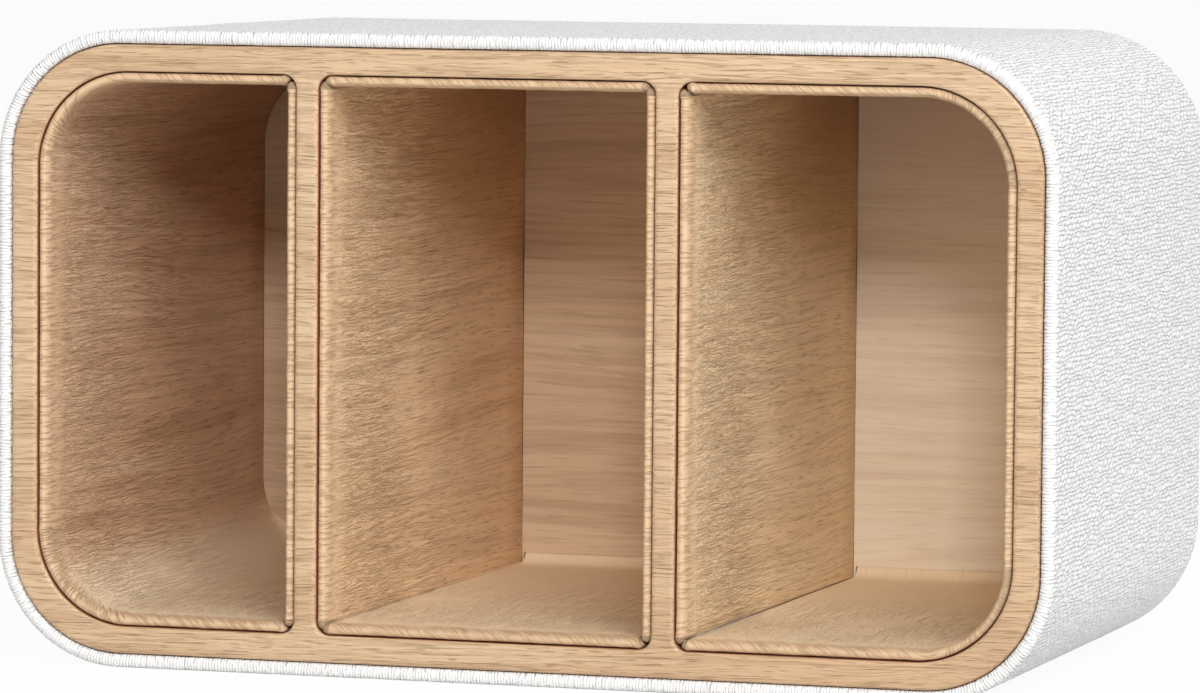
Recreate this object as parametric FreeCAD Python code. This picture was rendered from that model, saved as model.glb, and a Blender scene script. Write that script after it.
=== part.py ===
import FreeCAD, Part
import math
import os

from FreeCAD import Vector

# Remote control holder: a fabric-covered box with three lined compartments.
# It lies on its long side with the openings towards -Y, as it is photographed.
# X is the width, Y the depth and Z the height. The origin is the middle of the bottom.
# All sizes are millimetres.

# Overall size
WIDTH = 200.0
DEPTH = 120.0
HEIGHT = 117.0
CORNER_RADIUS = 23.7

# Sheet and board thicknesses
WRAP_THICKNESS = 0.6
SHELL_THICKNESS = 1.1
BOARD_THICKNESS = 5.3
DIVIDER_THICKNESS = 4.8
BACK_BOARD_THICKNESS = 3.0
FRAME_BOARD_THICKNESS = 3.0
FRAME_COVER_THICKNESS = 0.6
LINER_CARD_THICKNESS = 0.7
LINER_THICKNESS = 0.5
BACK_CARD_THICKNESS = 1.0
BACK_LINING_THICKNESS = 0.5
BACK_FELT_THICKNESS = 1.1

# Compartments, as the openings in the face frame. The right one takes what is left of the width.
LEFT_OPENING_WIDTH = 50.4
MIDDLE_OPENING_WIDTH = 63.8
CORNER_EASE = 1.5
LINER_FOLD_RADIUS = 0.5

# Clearances
GLUE_LINE = 0.05
JOINT_GAP = 0.1
RIM_GAP = 0.25
LIP_GAP = 0.35
BACK_PANEL_GAP = 0.2
SEAM_GAP = 0.3

# How closely two depths must agree to be the same
TOLERANCE = 0.001

# Front details
FRAME_RECESS = 0.4
LIP_RECESS = 0.3
FRAME_BOARD_ROUND = 0.4

# Turned margins of the covers
WRAP_FRONT_MARGIN = 14.0
WRAP_BACK_MARGIN = 10.0
LINER_MARGIN = 9.0
SHELL_BACK_ROUND = 0.8

# Joints between boards
TONGUE_THICKNESS = 1.6
TONGUE_LENGTH = 3.0
GROOVE_DEPTH = 1.5

# Brads that hold the back board
BRAD_DIAMETER = 1.0
BRAD_HEAD_DIAMETER = 1.8
BRAD_HEAD_HEIGHT = 0.6
BRAD_LENGTH = 14.0
BRAD_END_DISTANCE = 18.0
BRADS_ON_LONG_BOARD = 4
BRADS_ON_SHORT_BOARD = 2

# Offsets inwards from the outer surface of the box
SHELL_OFFSET = WRAP_THICKNESS + GLUE_LINE
RIM_WIDTH = 2 * SHELL_OFFSET + SHELL_THICKNESS
CARCASS_OFFSET = RIM_WIDTH + JOINT_GAP
LINER_OFFSET = CARCASS_OFFSET + BOARD_THICKNESS + JOINT_GAP
FRAME_OFFSET = RIM_WIDTH + RIM_GAP
OPENING_OFFSET = LINER_OFFSET - LIP_GAP
LIP_WIDTH = 2 * (LINER_THICKNESS + GLUE_LINE) + LINER_CARD_THICKNESS
FRAME_BOARD_INSET = FRAME_COVER_THICKNESS + GLUE_LINE

# Places along the depth, from the front to the back
FRONT = -DEPTH / 2
BACK = DEPTH / 2
FRAME_FRONT = FRONT + FRAME_RECESS
FRAME_BOARD_FRONT = FRAME_FRONT + FRAME_BOARD_INSET
FRAME_BACK = FRAME_BOARD_FRONT + FRAME_BOARD_THICKNESS
BOARD_FRONT = FRAME_BACK + JOINT_GAP
LIP_FRONT = FRAME_FRONT + LIP_RECESS
BACK_BOARD_OUTSIDE = BACK - BACK_FELT_THICKNESS - GLUE_LINE
BACK_BOARD_INSIDE = BACK_BOARD_OUTSIDE - BACK_BOARD_THICKNESS
BOARD_BACK = BACK_BOARD_INSIDE - JOINT_GAP
WRAP_BACK_INSIDE = BACK_BOARD_OUTSIDE + GLUE_LINE
WRAP_BACK = WRAP_BACK_INSIDE + WRAP_THICKNESS
CARD_BACK = BACK_BOARD_INSIDE - GLUE_LINE
CARD_FRONT = CARD_BACK - BACK_CARD_THICKNESS
LINING_BACK = CARD_FRONT - GLUE_LINE
LINING_FRONT = LINING_BACK - BACK_LINING_THICKNESS

# How far the straight boards reach from the middle, where the round corners start
STRAIGHT_HALF_WIDTH = WIDTH / 2 - CORNER_RADIUS
STRAIGHT_HALF_HEIGHT = HEIGHT / 2 - CORNER_RADIUS

# Places across the width, where the three openings start and end
DIVIDER_BAND = DIVIDER_THICKNESS + 2 * (JOINT_GAP - LIP_GAP)
LEFT_OPENING_START = -WIDTH / 2 + OPENING_OFFSET
LEFT_OPENING_END = LEFT_OPENING_START + LEFT_OPENING_WIDTH
MIDDLE_OPENING_START = LEFT_OPENING_END + DIVIDER_BAND
MIDDLE_OPENING_END = MIDDLE_OPENING_START + MIDDLE_OPENING_WIDTH
RIGHT_OPENING_START = MIDDLE_OPENING_END + DIVIDER_BAND
RIGHT_OPENING_END = WIDTH / 2 - OPENING_OFFSET

# Corner radii of the openings: large beside the outer corners, small beside the dividers
OUTER_OPENING_RADIUS = CORNER_RADIUS - LINER_OFFSET + CORNER_EASE + LIP_GAP
INNER_OPENING_RADIUS = LINER_FOLD_RADIUS + LIP_WIDTH + LIP_GAP


class Outline:
    """A rounded rectangle in an XZ plane, with a radius for each corner."""

    def __init__(self, left, right, bottom, top, radii):
        self.left = left
        self.right = right
        self.bottom = bottom
        self.top = top
        # bottom left, bottom right, top right, top left
        self.radii = radii

    def inset(self, distance):
        """Return the outline moved inwards. A corner that is inset past its radius is sharp."""
        radii = [max(radius - distance, 0.0) for radius in self.radii]
        return Outline(self.left + distance, self.right - distance,
                       self.bottom + distance, self.top - distance, radii)

    def corners(self):
        """Return each corner's centre, radius and start angle, round from the bottom left."""
        places = ((self.left, 1, self.bottom, 1), (self.right, -1, self.bottom, 1),
                  (self.right, -1, self.top, -1), (self.left, 1, self.top, -1))
        result = []
        for number, (x, x_side, z, z_side) in enumerate(places):
            radius = self.radii[number]
            centre = Vector(x + x_side * radius, 0, z + z_side * radius)
            result.append((centre, radius, math.pi + number * math.pi / 2))
        return result


def direction(angle):
    """Return the unit vector at an angle from +X towards +Z."""
    return Vector(math.cos(angle), 0, math.sin(angle))


def outline_wire(outline, y):
    """Return the closed wire of an outline in the plane at y."""
    shift = Vector(0, y, 0)
    quarter = math.pi / 2
    edges = []
    last_point = None
    first_point = None
    for centre, radius, start in outline.corners():
        begin = centre + direction(start) * radius + shift
        middle = centre + direction(start + quarter / 2) * radius + shift
        end = centre + direction(start + quarter) * radius + shift
        if last_point is None:
            first_point = begin
        else:
            edges.append(Part.LineSegment(last_point, begin).toShape())
        if radius > 0:
            edges.append(Part.Arc(begin, middle, end).toShape())
        last_point = end
    edges.append(Part.LineSegment(last_point, first_point).toShape())
    return Part.Wire(edges)


def plate(outline, front, back):
    """Return the solid with this outline between two depths."""
    face = Part.Face(outline_wire(outline, front))
    return face.extrude(Vector(0, back - front, 0))


def box(x0, x1, y0, y1, z0, z1):
    """Return the box between two corners."""
    return Part.makeBox(x1 - x0, y1 - y0, z1 - z0, Vector(x0, y0, z0))


def profile_face(profile, origin, inward):
    """Place a profile of inward offsets and depths on an outline, and return its face."""

    def place(point):
        return origin + inward * point[0] + Vector(0, point[1], 0)

    edges = []
    for segment in profile:
        points = [place(point) for point in segment]
        if len(points) == 2:
            edges.append(Part.LineSegment(points[0], points[1]).toShape())
        else:
            edges.append(Part.Arc(points[0], points[1], points[2]).toShape())
    return Part.Face(Part.Wire(edges))


def ring(outline, profile):
    """Carry a profile round an outline: straight along its sides and turned at its corners."""
    corners = outline.corners()
    quarter = math.pi / 2
    pieces = []
    for number, (centre, radius, start) in enumerate(corners):
        begin = centre + direction(start) * radius
        corner_face = profile_face(profile, begin, direction(start) * -1)
        pieces.append(corner_face.revolve(centre, Vector(0, -1, 0), 90))
        end = centre + direction(start + quarter) * radius
        next_centre, next_radius, next_start = corners[(number + 1) % len(corners)]
        side = next_centre + direction(next_start) * next_radius - end
        side_face = profile_face(profile, end, direction(start + quarter) * -1)
        pieces.append(side_face.extrude(side))
    joined = pieces[0].fuse(pieces[1:])
    return joined.removeSplitter()


def hook_profile(near, far, thickness, front, near_end, far_end):
    """A sheet folded over a front edge: one leg at each offset, joined by a half round."""
    outer_round = (far - near) / 2
    inner_round = outer_round - thickness
    middle = near + outer_round
    turn = front + outer_round
    return [
        ((near, turn), (middle, front), (far, turn)),
        ((far, turn), (far, far_end)),
        ((far, far_end), (far - thickness, far_end)),
        ((far - thickness, far_end), (far - thickness, turn)),
        ((far - thickness, turn), (middle, turn - inner_round), (near + thickness, turn)),
        ((near + thickness, turn), (near + thickness, near_end)),
        ((near + thickness, near_end), (near, near_end)),
        ((near, near_end), (near, turn)),
    ]


def strip_profile(near, far, front, back):
    """A board edge on: a half round at the front and square at the back."""
    edge_round = (far - near) / 2
    middle = near + edge_round
    turn = front + edge_round
    return [
        ((near, turn), (middle, front), (far, turn)),
        ((far, turn), (far, back)),
        ((far, back), (near, back)),
        ((near, back), (near, turn)),
    ]


def back_round_middle(centre, radius):
    """Return the middle of the arc that rounds a profile's outer back corner."""
    reach = radius * math.sqrt(0.5)
    return (centre[0] - reach, centre[1] + reach)


# Outlines that several pieces share
BOX_OUTLINE = Outline(-WIDTH / 2, WIDTH / 2, 0.0, HEIGHT, [CORNER_RADIUS] * 4)
CARCASS_OUTLINE = BOX_OUTLINE.inset(CARCASS_OFFSET)
FRAME_OUTLINE = BOX_OUTLINE.inset(FRAME_OFFSET)


def opening_outline(start, end, left_radius, right_radius):
    """Return the outline of one opening in the face frame."""
    radii = [left_radius, right_radius, right_radius, left_radius]
    return Outline(start, end, OPENING_OFFSET, HEIGHT - OPENING_OFFSET, radii)


OPENINGS = {
    "left": opening_outline(LEFT_OPENING_START, LEFT_OPENING_END,
                            OUTER_OPENING_RADIUS, INNER_OPENING_RADIUS),
    "middle": opening_outline(MIDDLE_OPENING_START, MIDDLE_OPENING_END,
                              INNER_OPENING_RADIUS, INNER_OPENING_RADIUS),
    "right": opening_outline(RIGHT_OPENING_START, RIGHT_OPENING_END,
                             INNER_OPENING_RADIUS, OUTER_OPENING_RADIUS),
}


# Outer sleeve

def make_outer_wrap():
    """The fabric cover, turned in over the front edge and onto the back."""
    thickness = WRAP_THICKNESS
    front_round = RIM_WIDTH / 2
    front_turn = FRONT + front_round
    margin_end = FRONT + WRAP_FRONT_MARGIN
    inner_leg = RIM_WIDTH - thickness
    back_inner_round = SHELL_BACK_ROUND + GLUE_LINE
    back_outer_round = back_inner_round + thickness
    back_turn = WRAP_BACK - back_outer_round
    back_centre = (back_outer_round, back_turn)
    profile = [
        ((0, front_turn), (front_round, FRONT), (RIM_WIDTH, front_turn)),
        ((RIM_WIDTH, front_turn), (RIM_WIDTH, margin_end)),
        ((RIM_WIDTH, margin_end), (inner_leg, margin_end)),
        ((inner_leg, margin_end), (inner_leg, front_turn)),
        ((inner_leg, front_turn), (front_round, FRONT + thickness), (thickness, front_turn)),
        ((thickness, front_turn), (thickness, back_turn)),
        ((thickness, back_turn), back_round_middle(back_centre, back_inner_round),
         (back_outer_round, WRAP_BACK_INSIDE)),
        ((back_outer_round, WRAP_BACK_INSIDE), (WRAP_BACK_MARGIN, WRAP_BACK_INSIDE)),
        ((WRAP_BACK_MARGIN, WRAP_BACK_INSIDE), (WRAP_BACK_MARGIN, WRAP_BACK)),
        ((WRAP_BACK_MARGIN, WRAP_BACK), (back_outer_round, WRAP_BACK)),
        ((back_outer_round, WRAP_BACK), back_round_middle(back_centre, back_outer_round),
         (0, back_turn)),
        ((0, back_turn), (0, front_turn)),
    ]
    return ring(BOX_OUTLINE, profile)


def make_sleeve_shell():
    """The stiff board tube under the fabric, bent round and butted along the bottom."""
    outer = SHELL_OFFSET
    inner = outer + SHELL_THICKNESS
    edge_round = SHELL_THICKNESS / 2
    front = FRONT + SHELL_OFFSET
    turn = front + edge_round
    back = BACK_BOARD_OUTSIDE
    back_centre = (outer + SHELL_BACK_ROUND, back - SHELL_BACK_ROUND)
    profile = [
        ((outer, turn), (outer + edge_round, front), (inner, turn)),
        ((inner, turn), (inner, back)),
        ((inner, back), (outer + SHELL_BACK_ROUND, back)),
        ((outer + SHELL_BACK_ROUND, back), back_round_middle(back_centre, SHELL_BACK_ROUND),
         (outer, back - SHELL_BACK_ROUND)),
        ((outer, back - SHELL_BACK_ROUND), (outer, turn)),
    ]
    tube = ring(BOX_OUTLINE, profile)
    seam = box(-SEAM_GAP / 2, SEAM_GAP / 2, FRONT, BACK, 0.0, inner + JOINT_GAP)
    return tube.cut(seam)


# Carcass of boards

def wall_band(start, thickness):
    """A ring within the carcass wall, from this far inside its outer face."""
    outer = plate(CARCASS_OUTLINE.inset(start), BOARD_FRONT, BOARD_BACK)
    inner = plate(CARCASS_OUTLINE.inset(start + thickness), BOARD_FRONT, BOARD_BACK)
    return outer.cut(inner)


def carcass_wall():
    """The full ring of wall that the boards and corner pieces share between them."""
    return wall_band(0.0, BOARD_THICKNESS)


def tongue_band(extra):
    """The ring in the middle of the wall's thickness that the tongues lie in."""
    start = (BOARD_THICKNESS - TONGUE_THICKNESS) / 2 - extra
    return wall_band(start, TONGUE_THICKNESS + 2 * extra)


def make_corner(x_side, z_side):
    """A quarter-round corner piece with a tongue on each end."""
    wall = carcass_wall()
    middle = HEIGHT / 2

    def corner_block(reach):
        x_values = sorted((x_side * (STRAIGHT_HALF_WIDTH - reach), x_side * WIDTH))
        z_values = sorted((middle + z_side * (STRAIGHT_HALF_HEIGHT - reach), middle + z_side * HEIGHT))
        return box(x_values[0], x_values[1], BOARD_FRONT, BOARD_BACK, z_values[0], z_values[1])

    body = wall.common(corner_block(0.0))
    tongues = tongue_band(0.0).common(corner_block(TONGUE_LENGTH))
    return body.fuse(tongues).removeSplitter()


def board_blank(side):
    """A straight board with a groove in each end for the corner pieces' tongues."""
    wall = carcass_wall()
    x_reach = STRAIGHT_HALF_WIDTH - JOINT_GAP
    z_reach = STRAIGHT_HALF_HEIGHT - JOINT_GAP
    middle = HEIGHT / 2
    groove_length = TONGUE_LENGTH + JOINT_GAP
    if side in ("top", "bottom"):
        z_values = sorted((middle, middle + (HEIGHT if side == "top" else -HEIGHT)))
        keep = box(-x_reach, x_reach, BOARD_FRONT, BOARD_BACK, z_values[0], z_values[1])
        core_reach = STRAIGHT_HALF_WIDTH - groove_length
        core = box(-core_reach, core_reach, BOARD_FRONT, BOARD_BACK, z_values[0], z_values[1])
    else:
        x_values = sorted((0.0, WIDTH if side == "right" else -WIDTH))
        keep = box(x_values[0], x_values[1], BOARD_FRONT, BOARD_BACK,
                   middle - z_reach, middle + z_reach)
        core_reach = STRAIGHT_HALF_HEIGHT - groove_length
        core = box(x_values[0], x_values[1], BOARD_FRONT, BOARD_BACK,
                   middle - core_reach, middle + core_reach)
    grooves = tongue_band(JOINT_GAP).cut(core)
    return wall.common(keep).cut(grooves)


def divider_centres():
    """Return the middle of each divider, across the width."""
    return {
        "left_divider": (LEFT_OPENING_END + MIDDLE_OPENING_START) / 2,
        "right_divider": (MIDDLE_OPENING_END + RIGHT_OPENING_START) / 2,
    }


def divider_solid(centre, extra):
    """A divider board whose top and bottom edges stand in grooves, with this much room."""
    half = DIVIDER_THICKNESS / 2 + extra
    wall_inside = CARCASS_OFFSET + BOARD_THICKNESS
    reach = GROOVE_DEPTH - JOINT_GAP + extra
    return box(centre - half, centre + half, BOARD_FRONT, BOARD_BACK,
               wall_inside - reach, HEIGHT - wall_inside + reach)


def make_board(side):
    """A board of the carcass, grooved for the dividers and drilled for the brads."""
    board = board_blank(side)
    if side in ("top", "bottom"):
        for centre in divider_centres().values():
            board = board.cut(divider_solid(centre, JOINT_GAP))
    for hole in brad_solids(JOINT_GAP / 2, side):
        board = board.cut(hole)
    return board


def make_divider(centre):
    """A divider board that stands in the grooves of the top and bottom boards."""
    return divider_solid(centre, 0.0)


def make_back_board():
    """The board that closes the back, fastened to the ends of the other boards."""
    board = plate(CARCASS_OUTLINE, BACK_BOARD_INSIDE, BACK_BOARD_OUTSIDE)
    for side in ("top", "bottom", "left", "right"):
        for hole in brad_solids(JOINT_GAP / 2, side):
            board = board.cut(hole)
    return board


# Brads

def brad_positions(side):
    """Return the X and Z of each brad in one board's end, evenly spaced."""
    wall_middle = CARCASS_OFFSET + BOARD_THICKNESS / 2
    if side in ("top", "bottom"):
        count = BRADS_ON_LONG_BOARD
        reach = STRAIGHT_HALF_WIDTH - BRAD_END_DISTANCE
        z = wall_middle if side == "bottom" else HEIGHT - wall_middle
        return [(-reach + 2 * reach * number / (count - 1), z) for number in range(count)]
    count = BRADS_ON_SHORT_BOARD
    reach = STRAIGHT_HALF_HEIGHT - BRAD_END_DISTANCE
    x = WIDTH / 2 - wall_middle if side == "right" else -WIDTH / 2 + wall_middle
    return [(x, HEIGHT / 2 - reach + 2 * reach * number / (count - 1)) for number in range(count)]


def brad_solids(extra, side):
    """Return the brads of one board, each with this much room round it."""
    solids = []
    for x, z in brad_positions(side):
        tip = Vector(x, BACK_BOARD_OUTSIDE - BRAD_LENGTH - extra, z)
        shank = Part.makeCylinder(BRAD_DIAMETER / 2 + extra, BRAD_LENGTH + extra, tip, Vector(0, 1, 0))
        under_head = Vector(x, BACK_BOARD_OUTSIDE - BRAD_HEAD_HEIGHT - extra, z)
        head = Part.makeCylinder(BRAD_HEAD_DIAMETER / 2 + extra, BRAD_HEAD_HEIGHT + extra,
                                 under_head, Vector(0, 1, 0))
        solids.append(shank.fuse(head).removeSplitter())
    return solids


def make_brads():
    """All the brads, as separate solids."""
    solids = []
    for side in ("top", "bottom", "left", "right"):
        solids.extend(brad_solids(0.0, side))
    return Part.makeCompound(solids)


# Face frame

def frame_solid(inset, front, back, edge_round):
    """The frame with its three openings, each front edge rounded, narrowed by an inset."""
    solid = plate(FRAME_OUTLINE.inset(inset), front, back)
    for opening in OPENINGS.values():
        solid = solid.cut(plate(opening.inset(-inset), front, back))
    front_edges = [edge for edge in solid.Edges
                   if all(abs(vertex.Y - front) < TOLERANCE for vertex in edge.Vertexes)]
    return solid.makeFillet(edge_round, front_edges)


def make_frame_board():
    """The board inside the face frame."""
    return frame_solid(FRAME_BOARD_INSET, FRAME_BOARD_FRONT, FRAME_BACK, FRAME_BOARD_ROUND)


def make_frame_cover():
    """The wood-grain cover on the front and edges of the face frame."""
    outside = frame_solid(0.0, FRAME_FRONT, FRAME_BACK, FRAME_BOARD_ROUND + FRAME_BOARD_INSET)
    inside = frame_solid(FRAME_COVER_THICKNESS, FRAME_FRONT + FRAME_COVER_THICKNESS,
                         BOARD_FRONT, FRAME_BOARD_ROUND + GLUE_LINE)
    return outside.cut(inside)


# Compartments

def liner_outline(opening):
    """The outside of a liner, which passes through its opening with the lip gap."""
    return opening.inset(LIP_GAP)


def make_liner(opening):
    """The wood-grain lining of a compartment's walls, rolled over at the front into a lip."""
    profile = hook_profile(0.0, LIP_WIDTH, LINER_THICKNESS, LIP_FRONT,
                           LIP_FRONT + LINER_MARGIN, BOARD_BACK)
    return ring(liner_outline(opening), profile)


def make_liner_card(opening):
    """The card tube that stiffens a liner."""
    inset = LINER_THICKNESS + GLUE_LINE
    profile = strip_profile(inset, inset + LINER_CARD_THICKNESS, LIP_FRONT + inset, BOARD_BACK)
    return ring(liner_outline(opening), profile)


def back_panel_outline(opening):
    """The outline of the panel at the back of a compartment."""
    return liner_outline(opening).inset(LIP_WIDTH + BACK_PANEL_GAP)


def make_back_card(opening):
    """The card under the lining at the back of a compartment."""
    return plate(back_panel_outline(opening), CARD_FRONT, CARD_BACK)


def make_back_lining(opening):
    """The wood-grain lining at the back of a compartment."""
    return plate(back_panel_outline(opening), LINING_FRONT, LINING_BACK)


def make_back_felt():
    """The felt sheet on the back, inside the turned margin of the cover."""
    outline = BOX_OUTLINE.inset(WRAP_BACK_MARGIN + RIM_GAP)
    return plate(outline, BACK_BOARD_OUTSIDE + GLUE_LINE, BACK)


def build_parts():
    """Return every piece by its node name."""
    parts = {
        "outer_wrap": make_outer_wrap(),
        "sleeve_shell": make_sleeve_shell(),
        "back_board": make_back_board(),
        "back_brads": make_brads(),
        "frame_board": make_frame_board(),
        "frame_cover": make_frame_cover(),
        "back_felt": make_back_felt(),
    }
    for side in ("top", "bottom", "left", "right"):
        parts[side + "_board"] = make_board(side)
    for z_name, z_side in (("top", 1), ("bottom", -1)):
        for x_name, x_side in (("left", -1), ("right", 1)):
            parts[z_name + "_" + x_name + "_corner"] = make_corner(x_side, z_side)
    for name, centre in divider_centres().items():
        parts[name] = make_divider(centre)
    for name, opening in OPENINGS.items():
        parts[name + "_liner"] = make_liner(opening)
        parts[name + "_liner_card"] = make_liner_card(opening)
        parts[name + "_back_lining"] = make_back_lining(opening)
        parts[name + "_back_card"] = make_back_card(opening)
    return parts


os.makedirs("parts", exist_ok=True)
for node, shape in build_parts().items():
    size = shape.BoundBox
    print(f"{node}: {len(shape.Solids)} solid, valid {shape.isValid()}, volume {shape.Volume:.1f} mm3, "
          f"{size.XLength:.2f} x {size.YLength:.2f} x {size.ZLength:.2f} mm")
    shape.exportStep("parts/" + node + ".step")
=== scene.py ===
# %% [markdown]
# # An open holder for remote controls
# A box on its long side with three open compartments. Stiff board stands under a white linen
# cover, and a face frame and three linings of wood-grain leatherette close the front. The boards
# come from the CAD model and stay as they are. Every cover that is soft in real life is made here
# again as a fine mesh, because a CAD solid has no folds, rolled edges or wrinkles. The frame comes
# first, so that every cover can be laid on its board.

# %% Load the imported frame
import math

import bpy
import numpy as np
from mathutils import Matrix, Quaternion, Vector
from mathutils.geometry import delaunay_2d_cdt


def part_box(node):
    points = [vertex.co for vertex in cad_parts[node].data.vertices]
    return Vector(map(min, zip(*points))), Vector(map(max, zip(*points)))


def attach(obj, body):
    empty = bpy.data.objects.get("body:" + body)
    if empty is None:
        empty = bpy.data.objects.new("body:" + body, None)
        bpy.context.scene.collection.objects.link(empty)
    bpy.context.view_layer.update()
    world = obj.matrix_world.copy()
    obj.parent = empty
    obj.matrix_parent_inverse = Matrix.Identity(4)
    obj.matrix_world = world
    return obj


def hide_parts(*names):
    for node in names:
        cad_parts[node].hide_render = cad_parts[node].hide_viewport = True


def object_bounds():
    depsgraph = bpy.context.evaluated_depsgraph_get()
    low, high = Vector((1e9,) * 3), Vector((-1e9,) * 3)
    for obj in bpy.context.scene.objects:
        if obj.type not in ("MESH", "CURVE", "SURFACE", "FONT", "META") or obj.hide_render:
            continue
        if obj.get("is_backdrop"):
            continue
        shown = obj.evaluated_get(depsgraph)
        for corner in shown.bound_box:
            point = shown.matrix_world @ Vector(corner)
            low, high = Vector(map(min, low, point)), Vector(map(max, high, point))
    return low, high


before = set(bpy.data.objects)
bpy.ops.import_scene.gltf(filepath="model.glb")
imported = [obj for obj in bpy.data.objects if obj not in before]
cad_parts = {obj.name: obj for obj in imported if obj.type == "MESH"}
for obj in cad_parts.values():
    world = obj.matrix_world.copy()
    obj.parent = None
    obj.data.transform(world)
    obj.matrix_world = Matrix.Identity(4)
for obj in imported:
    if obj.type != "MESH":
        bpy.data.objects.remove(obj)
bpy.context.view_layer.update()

# %% [markdown]
# ## Camera
# The photograph looks at the front from a little to the right and above, with a long lens, so that
# the sides hardly converge. The camera's place comes from two angles and a distance to a point on
# the front, so that each number means one thing. The lamps use the same helper.

# %% Place the camera
MM = 0.001
AIM = Vector((16.31, -60.0, 61.88)) * MM
YAW, PITCH, ROLL, DISTANCE = 17.51, 4.15, 0.48, 1.185
LENS = 198.8


def put(name, data):
    """Make an object and put it into the scene."""
    made = bpy.data.objects.new(name, data)
    bpy.context.scene.collection.objects.link(made)
    return made


def aimed(name, data, target, azimuth, elevation, distance, roll=0.0):
    """A camera or lamp that looks at a point. Azimuth 0 is in front of the box, 90 right of it."""
    a, e = math.radians(azimuth), math.radians(elevation)
    away = Vector((math.sin(a) * math.cos(e), -math.cos(a) * math.cos(e), math.sin(e)))
    made = put(name, data)
    made.rotation_mode = "QUATERNION"
    made.location = target + away * distance
    made.rotation_quaternion = ((-away).to_track_quat("-Z", "Y")
                                @ Quaternion((0, 0, 1), math.radians(roll)))
    print(name, "stands at", [round(value, 3) for value in made.location])
    return made


camera = aimed("camera", bpy.data.cameras.new("camera"), AIM, YAW, PITCH, DISTANCE, ROLL)
camera.data.lens = LENS
camera.data.clip_end = 100
bpy.context.scene.camera = camera

# %% [markdown]
# ## Outlines
# Everything on this box follows a rounded rectangle: the cover, the face frame and each opening. A
# plain list of points is easier to sweep a profile along than a curve. The middles of the corners
# are kept, because the leatherette is pinched into folds there.

# %% Sample a rounded rectangle
def outline(left, right, bottom, top, radii, step, arc_step):
    """Points round a rounded rectangle in mm, anticlockwise from the middle of the bottom."""
    corners = [(right, -1, bottom, 1, radii[1], -90), (right, -1, top, -1, radii[2], 0),
               (left, 1, top, -1, radii[3], 90), (left, 1, bottom, 1, radii[0], 180)]
    rows, middles, along = [], [], 0.0
    start = here = Vector(((left + right) / 2, bottom))

    def straight(end, normal):
        """Add the points of a straight side up to its end, and return its length."""
        length = (end - here).length
        pieces = max(1, round(length / step))
        for share in (number / pieces for number in range(pieces)):
            rows.append((*here.lerp(end, share), *normal, along + share * length))
        return length

    for x, x_side, z, z_side, radius, angle in corners:
        centre = Vector((x + x_side * radius, z + z_side * radius))
        first, quarter = math.radians(angle), radius * math.pi / 2
        normal = Vector((math.cos(first), math.sin(first)))
        along += straight(centre + radius * normal, normal)
        middles.append((along + quarter / 2, radius))
        pieces = max(6, round(quarter / arc_step))
        for number in range(pieces):
            turn = first + math.pi / 2 * number / pieces
            normal = Vector((math.cos(turn), math.sin(turn)))
            rows.append((*(centre + radius * normal), *normal, along + quarter * number / pieces))
        along += quarter
        here = centre + radius * Vector((-math.sin(first), math.cos(first)))
    along += straight(start, (0.0, -1.0))
    rows = np.array(rows)
    return {"point": rows[:, 0:2], "normal": rows[:, 2:4], "along": rows[:, 4], "length": along,
            "corners": middles}


# %% [markdown]
# ### Inside an outline
# Each cover lies a known distance inside another one, and a plate needs each point's distance to
# its edge. For a rounded rectangle both have short, exact formulas.

# %% Move an outline and measure inside it
def inset(sides, radii, distance):
    """The sides and corner radii of a rounded rectangle that is moved inwards."""
    left, right, bottom, top = sides
    return ((left + distance, right - distance, bottom + distance, top - distance),
            [radius - distance for radius in radii])


def depth_inside(x, z, sides, radii):
    """How far points lie inside a rounded rectangle; a point outside it gives less than zero."""
    left, right, bottom, top = sides
    x_middle, z_middle = (left + right) / 2, (bottom + top) / 2
    is_right, is_top = x > x_middle, z > z_middle
    radius = np.where(is_right, np.where(is_top, radii[2], radii[1]),
                      np.where(is_top, radii[3], radii[0]))
    over_x = np.abs(x - x_middle) - (right - left) / 2 + radius
    over_z = np.abs(z - z_middle) - (top - bottom) / 2 + radius
    outside = np.hypot(np.maximum(over_x, 0), np.maximum(over_z, 0))
    return radius - outside - np.minimum(np.maximum(over_x, over_z), 0)


# %% [markdown]
# ## The sizes of the covers
# The CAD boards have fixed sizes, so the covers take the same numbers: offsets from the outside of
# the box, and depths from the front at -60 mm to the back at 60 mm. Only the two gaps at the front
# are a tenth of a millimetre narrower, because soft skin fills them out.

# %% Name the sizes
WIDTH, DEPTH, HEIGHT, CORNER_RADIUS = 200.0, 120.0, 117.0, 23.7
BOX = ((-WIDTH / 2, WIDTH / 2, 0.0, HEIGHT), [CORNER_RADIUS] * 4)
CLOTH, LEATHER, LINER = 0.6, 0.6, 0.5
RIM_WIDTH, FRONT, FRAME_FRONT, FRAME_BACK = 2.4, -DEPTH / 2, -59.6, -55.95
FRAME_OFFSET, LIP_GAP, LIP_WIDTH, LIP_FRONT, LINER_BACK = 2.54, 0.24, 1.8, -59.3, 55.75
WIDE, TIGHT = 17.65, 2.65
OPENINGS = {
    "left": ((-92.45, -42.05, 7.55, 109.45), [WIDE, TIGHT, TIGHT, WIDE]),
    "middle": ((-37.75, 26.05, 7.55, 109.45), [TIGHT] * 4),
    "right": ((30.35, 92.45, 7.55, 109.45), [TIGHT, WIDE, WIDE, TIGHT]),
}
for name, (sides, radii) in OPENINGS.items():
    low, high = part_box(name + "_liner")
    print(name, "liner starts", round(low.x / MM - sides[0], 2), "mm inside its opening")

# %% [markdown]
# ## Making a mesh
# Two shapes are needed again and again: a profile carried round an outline, for the linen and the
# linings, and a flat plate with rolled edges, for the face frame. Both are worked out as arrays of
# points, which is fast and keeps each row known, so that a fold lands exactly where it belongs.
# Three small curves shape them all: soft noise, a hill and a smooth step.

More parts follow.
